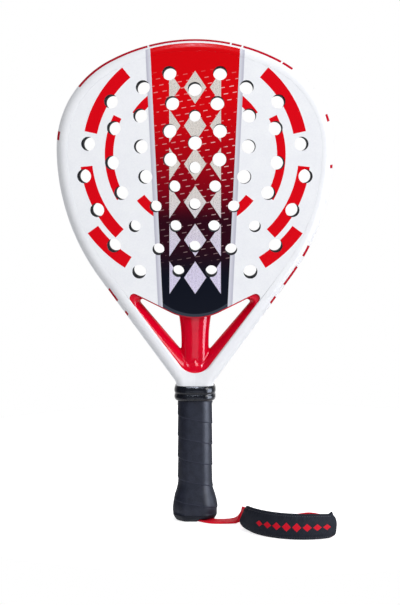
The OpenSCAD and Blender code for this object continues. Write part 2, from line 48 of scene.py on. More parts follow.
scene.view_settings.view_transform = "Standard"

# Camera: a product shot from in front, the eye a little above the middle of the racket
# and to its right, with a long lens.
eye, aim = Vector((0.0210, -1.447, 0.3409)), Vector((0.0047, 0.0, 0.2086))
camera = bpy.data.objects.new("camera", bpy.data.cameras.new("camera"))
scene.collection.objects.link(camera)
scene.camera = camera
camera.location = eye
camera.rotation_euler = (aim - eye).to_track_quat("-Z", "Y").to_euler()
camera.data.lens = 91.1

# Wrist strap: one red nylon webbing, woven flat with thick selvedges. Its rolled end is caught in
# the butt cap; it leaves by the cap's channel, turns on edge and is sewn back on itself in a loop.
MM = 0.001


def mix(a, b, t):
    return a + (b - a) * t


def polar(c, r, a):
    return np.array([c[0] + r * math.cos(math.radians(a)), c[1] + r * math.sin(math.radians(a))])


def smooth_path(rows, step):
    """Rows of numbers on a smooth curve through the given rows, about step apart."""
    p = np.array(rows, float)
    out = []
    for i in range(len(p) - 1):
        a, b, c, d = p[max(i - 1, 0)], p[i], p[i + 1], p[min(i + 2, len(p) - 1)]
        for t in np.linspace(0, 1, max(1, round(np.linalg.norm((c - b)[:3]) / step)), endpoint=False):
            out.append(b + 0.5 * t * (c - a + t * (2 * a - 5 * b + 4 * c - d + t * (3 * (b - c) + d - a))))
    return np.array(out + [p[-1]])


def as_object(name, mesh):
    obj = bpy.data.objects.new(name, mesh)
    scene.collection.objects.link(obj)
    return obj


def skin(name, rings, loop=True, wrap=False, uv=None):
    """A smooth mesh over rows of points in mm. loop joins a row's two ends, wrap the first and last
    rows; a looped run that isn't wrapped is closed by end faces. uv is (row values, column values)."""
    rings = np.asarray(rings, float)
    rows, cols = rings.shape[:2]
    quads = [
        (i, j, (i + 1) % rows, (j + 1) % cols)
        for i in range(rows - (not wrap))
        for j in range(cols - (not loop))
    ]
    faces = [(i * cols + j, i * cols + n, m * cols + n, m * cols + j) for i, j, m, n in quads]
    if loop and not wrap:
        faces += [list(range(cols))[::-1], [(rows - 1) * cols + j for j in range(cols)]]
    mesh = bpy.data.meshes.new(name)
    mesh.from_pydata((rings.reshape(-1, 3) * MM).tolist(), [], faces)
    if uv is not None:
        layer = mesh.uv_layers.new(name="weave").data
        for k, (i, j, m, n) in enumerate(quads):
            for c, (a, b) in enumerate([(i, j), (i, j + 1), (i + 1, j + 1), (i + 1, j)]):
                layer[4 * k + c].uv = (uv[0][a % len(uv[0])], uv[1][b % len(uv[1])])
    mesh.polygons.foreach_set("use_smooth", [True] * len(faces))
    return as_object(name, face_out(mesh))


def face_out(mesh):
    bm = bmesh.new()
    bm.from_mesh(mesh)
    bmesh.ops.recalc_face_normals(bm, faces=bm.faces)
    bm.to_mesh(mesh)
    bm.free()
    return mesh


def rgb(r, g, b):
    """A display colour as the shader's linear one."""
    linear = [((c / 255 + 0.055) / 1.055) ** 2.4 if c > 10 else c / 255 / 12.92 for c in (r, g, b)]
    return (*linear, 1.0)


class Field:
    """A value in a node tree. Arithmetic on it adds Math nodes, and make() adds any other node."""

    def __init__(self, tree, socket):
        self.tree, self.socket = tree, socket

    def make(self, kind, inputs, out=0, **settings):
        node = self.tree.nodes.new(kind)
        for key, value in settings.items():
            setattr(node, key, value)
        for key, value in inputs.items():
            if isinstance(value, Field):
                self.tree.links.new(value.socket, node.inputs[key])
            else:
                node.inputs[key].default_value = value
        return Field(self.tree, node.outputs[out])

    def math(self, operation, *others):
        return self.make("ShaderNodeMath", dict(enumerate((self, *others))), operation=operation)

    def __add__(self, other):
        return self.math("ADD", other)

    def __mul__(self, other):
        return self.math("MULTIPLY", other)

    def __sub__(self, other):
        return self.math("SUBTRACT", other)

    def __truediv__(self, other):
        return self.math("DIVIDE", other)

    def __pow__(self, other):
        return self.math("POWER", other)

    def __rsub__(self, other):
        return self * -1 + other

    def __rtruediv__(self, other):
        return self ** -1 * other

    def __rpow__(self, other):
        return self.make("ShaderNodeMath", {0: other, 1: self}, operation="POWER")

    def __abs__(self):
        return self.math("ABSOLUTE")

    __radd__, __rmul__ = __add__, __mul__

    def sin(self):
        return self.math("SINE")

    def floor(self):
        return self.math("FLOOR")

    def frac(self):
        return self.math("FRACT")

    def least(self, other):
        return self.math("MINIMUM", other)

    def most(self, other):
        return self.math("MAXIMUM", other)

    def rise(self, low, high):
        """0 below low and 1 above high, with a smooth step between."""
        return self.make("ShaderNodeMapRange", {0: self, 1: low, 2: high}, interpolation_type="SMOOTHSTEP")

    def within(self, low, high, soft):
        return self.rise(low - soft, low + soft) * (1 - self.rise(high - soft, high + soft))

    def blend(self, a, b):
        """Colour a where this is 0, b where it is 1."""
        return self.make("ShaderNodeMix", {0: self, 6: a, 7: b}, out=2, data_type="RGBA")

    def part(self, k):
        """One coordinate of a vector."""
        return self.make("ShaderNodeSeparateXYZ", {0: self}, out=k)


class Finish:
    """A procedural material on one Principled shader, with the piece's coordinates in mm at hand."""

    def __init__(self, name, **constants):
        self.material = bpy.data.materials.new(name)
        self.material.use_nodes = True
        self.tree = self.material.node_tree
        self.shader = self.tree.nodes["Principled BSDF"]
        for key, value in constants.items():
            self.shader.inputs[key.replace("_", " ")].default_value = value
        start = self.tree.nodes.new("ShaderNodeTexCoord")
        self.at = Field(self.tree, start.outputs["Object"])
        self.uv = Field(self.tree, start.outputs["UV"])
        self.x, self.y, self.z = (self.at.part(k) * 1000 for k in range(3))
        self.u, self.v = (self.uv.part(k) * 1000 for k in range(2))

    def noise(self, size, detail=3.0):
        """Noise from 0 to 1 with features of about that many mm."""
        sockets = {"Vector": self.at, "Scale": 1 / (size * MM), "Detail": detail}
        return self.at.make("ShaderNodeTexNoise", sockets)

    def cells(self, size, **settings):
        """Distances in a net of cells of about that many mm."""
        sockets = {"Vector": self.at, "Scale": 1 / (size * MM)}
        return self.at.make("ShaderNodeTexVoronoi", sockets, **settings)

    def feed(self, name, value):
        self.tree.links.new(value.socket, self.shader.inputs[name])
        return self

    def bump(self, height):
        """Relief from a height in mm."""
        return self.feed("Normal", self.at.make("ShaderNodeBump", {"Height": height * MM, "Distance": 1.0}))


def dress(obj, body, finish, slot, *nodes):
    """Gives a piece its finish and its body, and hides the solids that it stands for. The slot is not used.
    """
    obj.data.materials.clear()
    obj.data.materials.append(finish.material)
    if body:
        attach(obj, body)
    if nodes:
        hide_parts(*nodes)
    return obj


loop_c, loop_r = (98.6, -33.0), 50.0
# Places in mm and the roll of the webbing's width, as the solids have them
web_route = [
    (1.2, -1.2, 1.25, 0), (6, -6, 1.25, 0), (10.5, -10.4, 1.25, 0), (14.2, -13.8, 1.25, 0),
    (17.8, -15.7, 1.25, 0), (22, -16.3, 1.25, 0), (29, -16, 1.25, 0), (36, -15.4, 1.6, 2),
    (39.6, -15.2, 2.6, 10), (42.2, -16.2, 6.4, 52), (44, -18.6, 8.6, 80), (46.4, -23.4, 9.5, 90),
    (48.5, -29, 9.6, 90),
]
web_route += [(*polar(loop_c, loop_r, a), 9.6, 90) for a in np.linspace(180, 304.5, 16)]
web_route += [
    (128.1, -72.2, 9.6, 90), (128.3, -69.4, 9.6, 90), (126.6, -65.6, 9.6, 90), (122.8, -60, 9.6, 90),
    (115.5, -51.4, 9.5, 90), (106.5, -45.5, 9.4, 88), (95, -43.8, 8.5, 70), (81, -42.5, 8.2, 64),
    (68, -38.5, 8.4, 68), (59, -33.5, 9, 80), (53.8, -29, 9.6, 90), (50.9, -26, 9.6, 90),
]
web_path = smooth_path(web_route, 1.2)
# Half of the webbing's section: across, and height over its middle
web_half = [
    (-7.5, 0.2), (-7.3, 0.66), (-6.9, 0.88), (-6.4, 0.84), (-6.1, 0.62), (-5.7, 0.76), (-3, 0.8), (0, 0.8),
    (3, 0.8), (5.7, 0.76), (6.1, 0.62), (6.4, 0.84), (6.9, 0.88), (7.3, 0.66), (7.5, 0.2),
]
web_section = web_half + [(a, -b) for a, b in web_half[::-1]]
web_rings, web_run = [], [0.0]
for i, p in enumerate(web_path):
    before, after = web_path[max(i - 1, 0)], web_path[min(i + 1, len(web_path) - 1)]
    ahead = (after - before)[:2] / np.linalg.norm((after - before)[:2])
    left, up, roll = np.array([-ahead[1], ahead[0], 0]), np.array([0, 0, 1.0]), math.radians(p[3])
    across = left * math.cos(roll) + up * math.sin(roll)
    over = up * math.cos(roll) - left * math.sin(roll)
    web_rings.append([p[:3] + a * across + b * over for a, b in web_section])
    if i:
        web_run.append(web_run[-1] + np.linalg.norm((p - web_path[i - 1])[:3]))
webbing = skin(
    "wrist_webbing", web_rings,
    uv=(np.array(web_run) * MM, np.array([a for a, b in web_section] + [web_section[0][0]]) * MM),
)
yarn_w, pick_len = 1.1, 0.8
weave = Finish("red_webbing", Roughness=0.62, Specular_IOR_Level=0.2)
yarn = weave.v / yarn_w
warp = abs((yarn * math.pi).sin())
picks = (weave.u * (math.pi / pick_len) + yarn.floor() * math.pi * 0.5).sin() * 0.5 + 0.5
thread = warp * 0.6 + picks * 0.4
shade = weave.noise(6) * 0.35 + weave.noise(1.2) * 0.25 + thread * 0.6
weave.feed("Base Color", shade.rise(0.1, 0.95).blend(rgb(178, 0, 26), rgb(240, 4, 42)))
weave.bump(thread * 0.14 + weave.noise(0.5) * 0.03)
dress(webbing, None, weave, "red_webbing", "strap_tail", "strap_lead", "strap_loop")
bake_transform(webbing)

# Frame tube: one hollow carbon tube, laid up in a mould round the head, arms and neck, with
# rounded outer edges; filled, sprayed white and lacquered, with a broken red line on its outside.
head_w, tube_w, half_depth, edge_r = 258.5, 11.0, 19.0, 9.0
crown_r, shoulder_r, side_r, lean = 171.5, 92.0, 205.0, 36.0
neck_w, neck_half, neck_r, neck_z, arm_w, v_r = 34.8, 14.7, 13.4, 128.8, 12.9, 17.0
lean_out = np.array([math.cos(math.radians(lean)), -math.sin(math.radians(lean))])
neck_c = np.array([neck_w / 2 + neck_r, neck_z])
arm_x = head_w / 2 - side_r + side_r * lean_out[0]
arm_top = np.array([arm_x, neck_z + ((neck_c[0] - arm_x) * lean_out[0] - neck_r) / lean_out[1]])
arm_end = neck_c - neck_r * lean_out
widest_z = arm_top[1] - side_r * lean_out[1]
side_c, shoulder_c = (head_w / 2 - side_r, widest_z), (head_w / 2 - shoulder_r, widest_z)
crown_rise = math.sqrt((crown_r - shoulder_r) ** 2 - shoulder_c[0] ** 2)
crown_c, crown_a = (0.0, widest_z - crown_rise), math.degrees(math.atan2(crown_rise, shoulder_c[0]))
in_top, in_end = arm_top - tube_w * lean_out, arm_end - arm_w * lean_out
in_dir = (in_end - in_top) / np.linalg.norm(in_end - in_top)
in_out = np.array([-in_dir[1], in_dir[0]])
v_c = np.array([0, in_top[1] - (v_r - in_out[0] * in_top[0]) / in_out[1]])
v_touch, v_a = v_c + v_r * in_out, math.degrees(math.atan2(in_out[1], in_out[0]))
# Radius of the tube's inner edges in the hoop, at the foot of the arms, and in the neck
hoop_in_r, arm_in_r, neck_in_r = 0.3, 2.5, 0.1


def rib(outer, inner, half, in_r):
    """A station of the tube: two points of its plan, its half depth and its two edge radii."""
    return outer, inner, half, min(edge_r, np.linalg.norm(outer - inner) - in_r - 0.6), in_r


def arc_ribs(c, r, a0, a1, steps):
    turns = np.linspace(a0, a1, steps, endpoint=False)
    return [rib(polar(c, r, a), polar(c, r - tube_w, a), half_depth, hoop_in_r) for a in turns]


ribs = arc_ribs(crown_c, crown_r, 90, crown_a, 18)
ribs += arc_ribs(shoulder_c, shoulder_r, crown_a, 0, 40)
ribs += arc_ribs(side_c, side_r, 0, -lean, 30)
hoop = [r[1] for r in ribs]
arm_half = neck_half + 1.5


def arm_depth(t):
    """Half depth of an arm, which keeps the head's depth for two fifths of its length."""
    return mix(half_depth, arm_half, max(t - 0.4, 0) / 0.6)


for t in np.linspace(0, 1, 18, endpoint=False):
    in_r = mix(hoop_in_r, arm_in_r, t)
    ribs.append(rib(mix(arm_top, arm_end, t), mix(in_top, v_touch, t), arm_depth(t), in_r))
for t in np.linspace(0, 1, 22):
    o, i = polar(neck_c, neck_r, mix(180 - lean, 180, t)), polar(v_c, v_r, mix(v_a, -90, t))
    i[0] = max(i[0], 0)
    in_r = mix(arm_in_r, neck_in_r, min(t * 1.6, 1))
    ribs.append(rib(o, i, mix(arm_half, neck_half, t), in_r))
# The legs in the handle: half width, height, half depth and radius of the outer edges
legs = [(17.4, 127.8, 14.7, 9), (12.7, 115.4, 10.2, 4), (12.7, 16, 10.2, 4)]
ribs += [(np.array([x, z]), np.array([0, z]), h, r, neck_in_r) for x, z, h, r in legs]


def tube_ring(station, side):
    outer, inner, h, r, q = station
    w = np.linalg.norm(inner - outer)
    turn = np.radians(np.linspace(0, 90, 10))
    half = [(0, h - r - 0.6)] + [(r - r * math.cos(a), h - r + r * math.sin(a)) for a in turn]
    half += [(r + 0.3, h), (w - q - 0.3, h)] if w - q - r > 0.7 else [(r + 0.1, h), (w - q - 0.1, h)]
    half += [(w - q + q * math.sin(a), h - q + q * math.cos(a)) for a in turn[::3]] + [(w, h - q - 0.4)]
    ring = half + [(d, -y) for d, y in half[::-1]]
    way = (inner - outer) / w
    return [(side * (outer[0] + d * way[0]), y, outer[1] + d * way[1]) for d, y in ring]


tube = skin("frame_tube_shell", [tube_ring(r, -1) for r in ribs[:0:-1]] + [tube_ring(r, 1) for r in ribs])
# The printed centre band: its middle, its foot, half its width there, and how fast that grows
band_x, band_z, band_half, band_growth = 0.4, 211, 30.6, 0.0466
ridge_w, print_edge = 4.4, 0.12
band_red = rgb(214, 0, 10)
white_low, white_high = rgb(236, 238, 244), rgb(243, 245, 249)


def centre_band(finish):
    """Where the band is, where the grey ridges along it are, and the colour of the ridges: printed grey,
    darker toward the outside as painted shade.
    """
    past = abs(finish.x - band_x) - (finish.z - band_z) * band_growth - band_half
    # The ridges' grey is print. Their darkening from the inner to the outer side is painted shade standing
    # for a raised ridge's slope.
    shade = past.rise(0.6, 4.2).blend(rgb(212, 213, 224), rgb(190, 190, 205))
    return 1 - past.rise(-print_edge, print_edge), past.within(0, ridge_w, print_edge), shade


lacquer = Finish("white_paint", Specular_IOR_Level=0, Coat_IOR=2.0, Coat_Roughness=0.22)
peel = lacquer.noise(1.6, 1.0) * 0.012 + lacquer.noise(0.5) * 0.004
cloud = lacquer.noise(24) * 0.6 + lacquer.noise(2.5) * 0.4
body_ink = cloud.rise(0.25, 0.75).blend(white_low, white_high)
# The face's centre band runs on over the crown, up to the rounded edge
band, ridge, ridge_grey_and_shade = centre_band(lacquer)
crown_print = abs(lacquer.y).rise(17.4, 17.5) * lacquer.z.rise(400, 401)
body_ink = (ridge * crown_print).blend(body_ink, ridge_grey_and_shade)
body_ink = (band * crown_print).blend(body_ink, band_red)
# The line keeps to the tube's outside: round the crown, then in dashes down the shoulders and arms.
# Its places are degrees from the crown, round a middle at line_z.
line_z, line_half, line_from, line_to, line_gap = 330, 15.7, -53, 43, 0.8
line_gaps = (-20, 15.5, 20.5, 38)
line_dashes = [
    (-154.5, -153), (-148.5, -143), (-76, -72.5), (65.5, 68.5), (86, 87.5), (122, 127), (132, 141),
    (146.5, 149.5),
]
outside = 1 - (abs(lacquer.y) - abs(lacquer.x) * 0.005).rise(line_half, line_half + 0.3)
over_line = lacquer.z - line_z
around = lacquer.x.math("ARCTAN2", over_line) * (180 / math.pi)
hoop_far = (lacquer.x * lacquer.x + over_line * over_line) ** 0.5
crown_line = around.within(line_from, line_to, 0.15)
for gap in line_gaps:
    crown_line = crown_line * (1 - around.within(gap - line_gap / 2, gap + line_gap / 2, 0.1))
for low, high in line_dashes:
    crown_line = crown_line.most(around.within(low, high, 0.15))
line = crown_line * outside * hoop_far.rise(104, 106)
line_red = rgb(184, 0, 36)
lacquer.feed("Base Color", line.blend(body_ink, line_red))
lacquer.feed("Coat Weight", lacquer.noise(9) * 0.03 + 0.055)
lacquer.bump(peel + line * 0.03)
dress(tube, "racket", lacquer, "white_paint", "frame_tube")

# Foam core: a plate of closed-cell rubber foam that fills the hoop, drilled through with the faces.
# Only its dark walls show, in the holes.
sill_z, sill_r, sill_slope = 196.8, 52.0, 26.5
slope = math.tan(math.radians(sill_slope))
skin_t = 1.0
core_half, core_rise, core_corner = half_depth - skin_t, 6.2, 0.5
# Distance from the middle, height over the widest place, and diameter
hole_rows = [
    (23.5, 69.5, 13), (48, 56.5, 13), (0, 55, 13), (77.5, 43.5, 13), (21, 42, 13), (50.5, 30.5, 13),
    (0, 30.5, 11), (75, 19, 13), (23.5, 16.5, 13), (99, 4.5, 13), (50, 2, 13), (0, 5.5, 13),
    (77, -13, 13), (23, -10, 13), (0, -17.5, 11), (103, -25.5, 13), (46, -26, 13), (19, -35, 11),
    (68.5, -41, 13), (0, -51.5, 11), (36.5, -53.5, 11), (91, -57, 13), (56, -72, 11), (18, -72, 11),
    (75.5, -90, 13), (34, -93.5, 11), (0, -91, 11), (52, -114.5, 13), (15.5, -114, 11),
]
holes = [(side * x, widest_z + z, d / 2) for x, z, d in hole_rows for side in ((-1, 1) if x else (1,))]


def sill(x):
    """Height of the faces' lower edge: an arc in the middle, straight slopes beside it."""
    bend = sill_r * math.sin(math.radians(sill_slope))
    if abs(x) < bend:
        return sill_z + sill_r - math.sqrt(sill_r ** 2 - x * x)
    return sill_z + sill_r * (1 - math.cos(math.radians(sill_slope))) + (abs(x) - bend) * slope


def throat_corner(r, rise, gap):
    """Middle of a circle of radius r under the lower edge, moved up by rise, and gap off the right arm."""
    down = np.array([slope, -1]) / math.hypot(slope, 1)
    edge = np.array([0, sill(100) + rise - 100 * slope])
    return np.linalg.solve([down, in_out], [down @ edge + r, in_out @ in_top - gap - r])


def plate(name, outline, drills, y0, y1, bevel):
    """A flat plate in the plane of the head, from y0 to y1 in mm, drilled and with eased edges."""
    curve = bpy.data.curves.new(name, "CURVE")
    curve.dimensions, curve.fill_mode, curve.resolution_u = "2D", "BOTH", 1
    curve.extrude, curve.bevel_depth, curve.offset = (y1 - y0) / 2 - bevel, bevel, -bevel
    curve.bevel_resolution = 2
    turn = np.linspace(0, 2 * math.pi, 56, endpoint=False)
    rounds = [[(x + r * math.cos(a), z + r * math.sin(a)) for a in turn] for x, z, r in drills]
    for ring in [outline] + rounds:
        spline = curve.splines.new("POLY")
        spline.points.add(len(ring) - 1)
        spline.use_cyclic_u = True
        for point, (x, z) in zip(spline.points, ring):
            point.co = (x, z, 0, 1)
    flat = as_object(name + "_flat", curve)
    mesh = bpy.data.meshes.new_from_object(flat.evaluated_get(bpy.context.evaluated_depsgraph_get()))
    bpy.data.objects.remove(flat)
    for v in mesh.vertices:
        x, z, y = v.co
        v.co = (x * MM, ((y0 + y1) / 2 - y) * MM, z * MM)
    bm = bmesh.new()
    bm.from_mesh(mesh)
    bmesh.ops.remove_doubles(bm, verts=bm.verts, dist=1e-7)
    for f in bm.faces:
        f.smooth = abs(f.normal.y) < 0.999
    bmesh.ops.recalc_face_normals(bm, faces=bm.faces)
    bm.to_mesh(mesh)
    bm.free()
    mesh.name = name
    return as_object(name, mesh)


def head_outline(rise, corner_r):
    """The inside of the hoop above the lower edge, which is moved up by rise and runs into the arms."""
    c = throat_corner(corner_r, rise, 0)
    right = hoop + [in_top] + [polar(c, corner_r, a) for a in np.linspace(v_a, 90 + sill_slope, 10)]
    half = right + [np.array([x, sill(x) + rise]) for x in np.linspace(right[-1][0], 0, 26)[1:]]
    return half + [np.array([-p[0], p[1]]) for p in half[-2:0:-1]]


core = plate("drilled_core", head_outline(core_rise, core_corner), holes, -core_half, core_half, bevel=0.2)
foam = Finish("core_foam", Roughness=0.85)
cells = foam.cells(0.7)
pores = foam.noise(3) * 0.5 + cells * 0.5
foam.feed("Base Color", pores.rise(0.2, 0.8).blend(rgb(36, 40, 50), rgb(62, 68, 80)))
foam.bump(cells * 0.12 + foam.noise(0.4) * 0.04)
dress(core, "racket", foam, "core_foam", "foam_core")

# Faces: two thin skins of woven carbon in resin, bonded over the core, printed and drilled.
# The print is a plain design of its own: a shaded centre band with silver lozenges, and red arcs.
face_corner = 4.2
face_plan = head_outline(0, face_corner)
front = plate("front_skin", face_plan, holes, -half_depth, -core_half, bevel=0.1)
back = plate("back_skin", face_plan, holes, core_half, half_depth, bevel=0.1)
printed = Finish("face_print", Specular_IOR_Level=0, Coat_Weight=0.07, Coat_IOR=2.0, Coat_Roughness=0.22)
px, pz, side_x = printed.x - band_x, printed.z, abs(printed.x - band_x)
cross = printed.noise(16) * 0.5 + printed.noise(1.4) * 0.5
ink = cross.rise(0.25, 0.75).blend(white_low, white_high)
# Red arcs round one middle, cut square at their ends: near and far radius, and degrees from the level
arc_z = 348
arcs = [
    (93, 105, 12, 50), (76, 84, -30, 26), (96, 107, -46, -6), (112, 124, -58, -36), (62, 70, 34, 54),
    (60, 69, -56, -38),
]
over_arc = pz - arc_z
ring_far = (px * px + over_arc * over_arc) ** 0.5
ring_turn = over_arc.math("ARCTAN2", side_x) * (180 / math.pi)
red_arcs = None
for near, far, low, high in arcs:
    arc = ring_far.within(near, far, 0.15) * ring_turn.within(low, high, 0.12)
    red_arcs = arc if red_arcs is None else red_arcs.most(arc)
grain = printed.noise(0.9)
arc_red = grain.rise(0.2, 0.8).blend(rgb(214, 0, 16), rgb(226, 2, 22))
ink = red_arcs.blend(ink, arc_red)
band, ridge, ridge_grey_and_shade = centre_band(printed)
# Grey ridges beside the band, with painted shade on their outer side
ink = ridge.blend(ink, ridge_grey_and_shade)
# The band is near black at its foot and goes through dark red to red at the crown
band_ink = rgb(11, 15, 28)
band_steps = [(232, 272, rgb(45, 6, 22)), (284, 316, rgb(109, 0, 20)), (290, 410, band_red)]
for low, high, colour in band_steps:
    band_ink = pz.rise(low, high).blend(band_ink, colour)
# Fine pale dashes in slanted rows, brighter to the right and toward the crown
dash_pitch, dash_run, dash_slant, dash_step = 6.1, 8.4, 0.17, 0.37
dash_row = (pz - px * dash_slant) / dash_pitch
dash_u = px / dash_run + dash_row.floor() * dash_step
dashes = dash_row.frac().within(0.42, 0.54, 0.025) * dash_u.frac().within(0.2, 0.68, 0.02)
dashes = dashes * side_x.within(-1, 40, 1) * printed.noise(14).rise(0.4, 0.5) * pz.within(250, 420, 10)
dashes = dashes * (px.rise(-45, 35) * 0.45 + 0.35) * (pz.rise(262, 330) * 0.6 + 0.4)
band_ink = dashes.blend(band_ink, rgb(246, 205, 208))
# Silver harlequin lozenges, filled with small bright triangles
lozenge_w, lozenge_h, lozenge_foot, lozenge_top, chip = 24, 35.3, 216, 428, 2.6
over_foot = (pz - lozenge_foot) / lozenge_h
slant_a, slant_b = px / lozenge_w + over_foot, px / lozenge_w - over_foot
chip_x, chip_z = px * 0.5 / chip, pz * 0.866 / chip
chips = (px / chip).frac() + (chip_x + chip_z).frac() + (chip_x - chip_z).frac()
facet = chips.frac() * 0.6 + printed.noise(1.8) * 0.4
warm = pz.rise(240, 330).blend(rgb(206, 196, 226), rgb(222, 213, 205))
pale = pz.rise(240, 330).blend(rgb(236, 230, 248), rgb(243, 238, 232))
silver = facet.rise(0.25, 0.75).blend(warm, pale)
in_lozenge = slant_a.frac().within(0.07, 0.93, 0.008) * slant_b.frac().within(0.07, 0.93, 0.008)
odd = ((slant_a.floor() + slant_b.floor()) * 0.5).frac().rise(0.2, 0.3)
in_lozenge = in_lozenge * odd * side_x.within(-1, lozenge_w, 0.15)
in_lozenge = in_lozenge * pz.within(lozenge_foot, lozenge_top, 0.2)
band_ink = in_lozenge.blend(band_ink, silver)
# A paler lip along the lower edge: a painted highlight on the face's rounded rim there
lip_w = 2.8
over_lip = pz - (sill_z + sill_r)
lip_far = (px * px + over_lip * over_lip) ** 0.5
lip_highlight = lip_far.rise(sill_r - lip_w, sill_r - lip_w + 0.3) * (1 - pz.rise(lozenge_foot, lozenge_foot + 2))
# The lip's slate colour over the near-black band is a painted highlight
band_ink = lip_highlight.blend(band_ink, rgb(52, 58, 70))
printed.feed("Base Color", band.blend(ink, band_ink))
printed.feed("Roughness", grain * 0.12 + 0.3 - in_lozenge * band * 0.08)
printed.feed("Metallic", in_lozenge * band * 0.25)
printed.bump(grain * 0.01 + ridge * 0.12 + red_arcs * 0.02 + printed.noise(0.35) * 0.006)
dress(front, "racket", printed, "face_print", "front_face")
dress(back, "racket", printed, "face_print", "back_face")

# Bridge bar: a hollow bar of the same lay-up that closes the hoop under the faces. Painted red,
# it shows as a thin lip below their edge.
bar_drop, bar_rise, bar_half = 1.4, 6, 17.6


def bar_edge(rise):
    """An edge of the bar, moved up from the faces' lower edge, from arm to arm."""
    reach = throat_corner(0, rise, 0)[0]
    return [np.array([x, sill(x) + rise]) for x in np.linspace(-1, 1, 49) * reach]


bar_plan = bar_edge(-bar_drop) + bar_edge(bar_rise)[::-1]
bar = plate("bridge_lip", bar_plan, [], -bar_half, bar_half, bevel=0.6)
gloss = Finish("red_paint", Specular_IOR_Level=0, Coat_IOR=2.5, Coat_Roughness=0.14)
tone = gloss.noise(14) * 0.6 + gloss.noise(1.8) * 0.4
gloss.feed("Base Color", tone.rise(0.25, 0.75).blend(rgb(204, 0, 36), rgb(222, 0, 40)))
gloss.feed("Coat Weight", gloss.noise(7) * 0.06 + 0.1)
gloss.bump(gloss.noise(1.8, 1.0) * 0.014 + gloss.noise(0.5) * 0.003)
dress(bar, "racket", gloss, "red_paint", "bridge_bar")

# Throat yoke: a red moulding bonded in the V of the arms, a sloping lining with a rounded stem
# that props the bridge bar. It is cast in one piece, so its inside corners are filleted.
stem_foot, stem_head, stem_w, stem_head_w, stem_depth, squareness = 150.9, 200.5, 26, 32, 23, 0.72
# Half of the lining's section: share of its thickness, and of its half depth, which grows at the floor
flank_half = [(-0.14, 1.0), (0.16, 0.95), (0.5, 0.8), (0.88, 0.5), (1, 0.3)]
flank = np.array(flank_half + [(a, -b) for a, b in flank_half[::-1]])
floor_half = [1, 1, 0.98, 0.92, 0.6]
floor_flank = flank.copy()
floor_flank[:, 1] = floor_half + [-b for b in floor_half[::-1]]
# How far the lining lies behind the tube's faces, and its thickness above, at the V and at the floor
lining_inset, top_t, v_t, floor_t = 2.5, 4.4, 9.2, 13


def lining_rib(o, way, w, h, profile):
    return [(o[0] + w * a * way[0], b * h, o[1] + w * a * way[1]) for a, b in profile]


lining = []
for t in np.linspace(0, 1, 24, endpoint=False):
    u = mix(0.3, 1, t)
    depth = arm_depth(u) - lining_inset
    lining.append(lining_rib(mix(in_top, v_touch, u), -in_out, mix(top_t, v_t, t), depth, flank))
for t in np.linspace(0, 1, 16):
    a = mix(v_a, -90, t)
    way, depth, profile = -polar((0, 0), 1, a), arm_half - lining_inset, mix(flank, floor_flank, t)
    lining.append(lining_rib(polar(v_c, v_r, a), way, mix(v_t, floor_t, t), depth, profile))
lining += [[(-x, y, z) for x, y, z in row] for row in lining[-2::-1]]


def squircle(a, w, d):
    """A point of a rounded square with half sizes w and d."""
    c, s = math.cos(a), math.sin(a)
    return w * np.sign(c) * abs(c) ** squareness, d * np.sign(s) * abs(s) ** squareness


stem, stem_turns = [], np.linspace(0, 2 * math.pi, 40, endpoint=False)
for t in np.linspace(0, 1, 28):
    w = mix(stem_w, stem_head_w, (max(t - 0.4, 0) / 0.6) ** 2) / 2
    d = (stem_depth + 3 * max(2 * t - 1, 0) ** 3) / 2
    stem.append([(*squircle(a, w, d), mix(stem_foot, stem_head, t)) for a in stem_turns])


def cast(name, parts, voxel, passes):
    """Fuses closed meshes into one and softens their inside corners."""
    bm = bmesh.new()
    for obj in parts:
        bm.from_mesh(obj.data)
        bpy.data.objects.remove(obj)
    mesh = bpy.data.meshes.new(name)
    bm.to_mesh(mesh)
    bm.free()
    obj = as_object(name, mesh)
    remesh = obj.modifiers.new("fuse", "REMESH")
    remesh.mode, remesh.voxel_size, remesh.use_smooth_shade = "VOXEL", voxel * MM, True
    soften = obj.modifiers.new("soften", "SMOOTH")
    soften.factor, soften.iterations = 0.5, passes
    mesh = bpy.data.meshes.new_from_object(obj.evaluated_get(bpy.context.evaluated_depsgraph_get()))
    bpy.data.objects.remove(obj)
    mesh.name = name
    return as_object(name, mesh)


# Fillers that round the outer corners of the two openings; they slope back from the arm and the bar.
# Distance from the middle of the depth, radius of the corner, and gap to the arm
filler_half = [(17, 5, 0.5), (15.5, 4.6, 1.6), (9.5, 3.5, 4.4)]
fillers = [(-y, r, gap) for y, r, gap in filler_half] + filler_half[::-1]
filler_drop, filler_rise, filler_in = 1.55, 1.2, 0.8
webs = []
for side in (-1, 1):
    rows = []
    for y, r, gap in fillers:
        c = throat_corner(r, -filler_drop, gap)
        bend = [polar(c, r, a) for a in np.linspace(90 + sill_slope, v_a, 12)]
        into_bar = bend[0] + np.array([0, filler_drop + filler_rise])
        into_arm = bend[-1] + in_out * (gap + filler_in)
        web = [throat_corner(0, filler_rise, -filler_in), into_bar, *bend, into_arm]
        rows.append([(side * x, y, z) for x, z in web])
    webs.append(skin("web", rows))
yoke = cast("throat_casting", [skin("lining", lining), skin("stem", stem), *webs], voxel=0.7, passes=10)
dress(yoke, "racket", gloss, "red_paint", "throat_yoke")

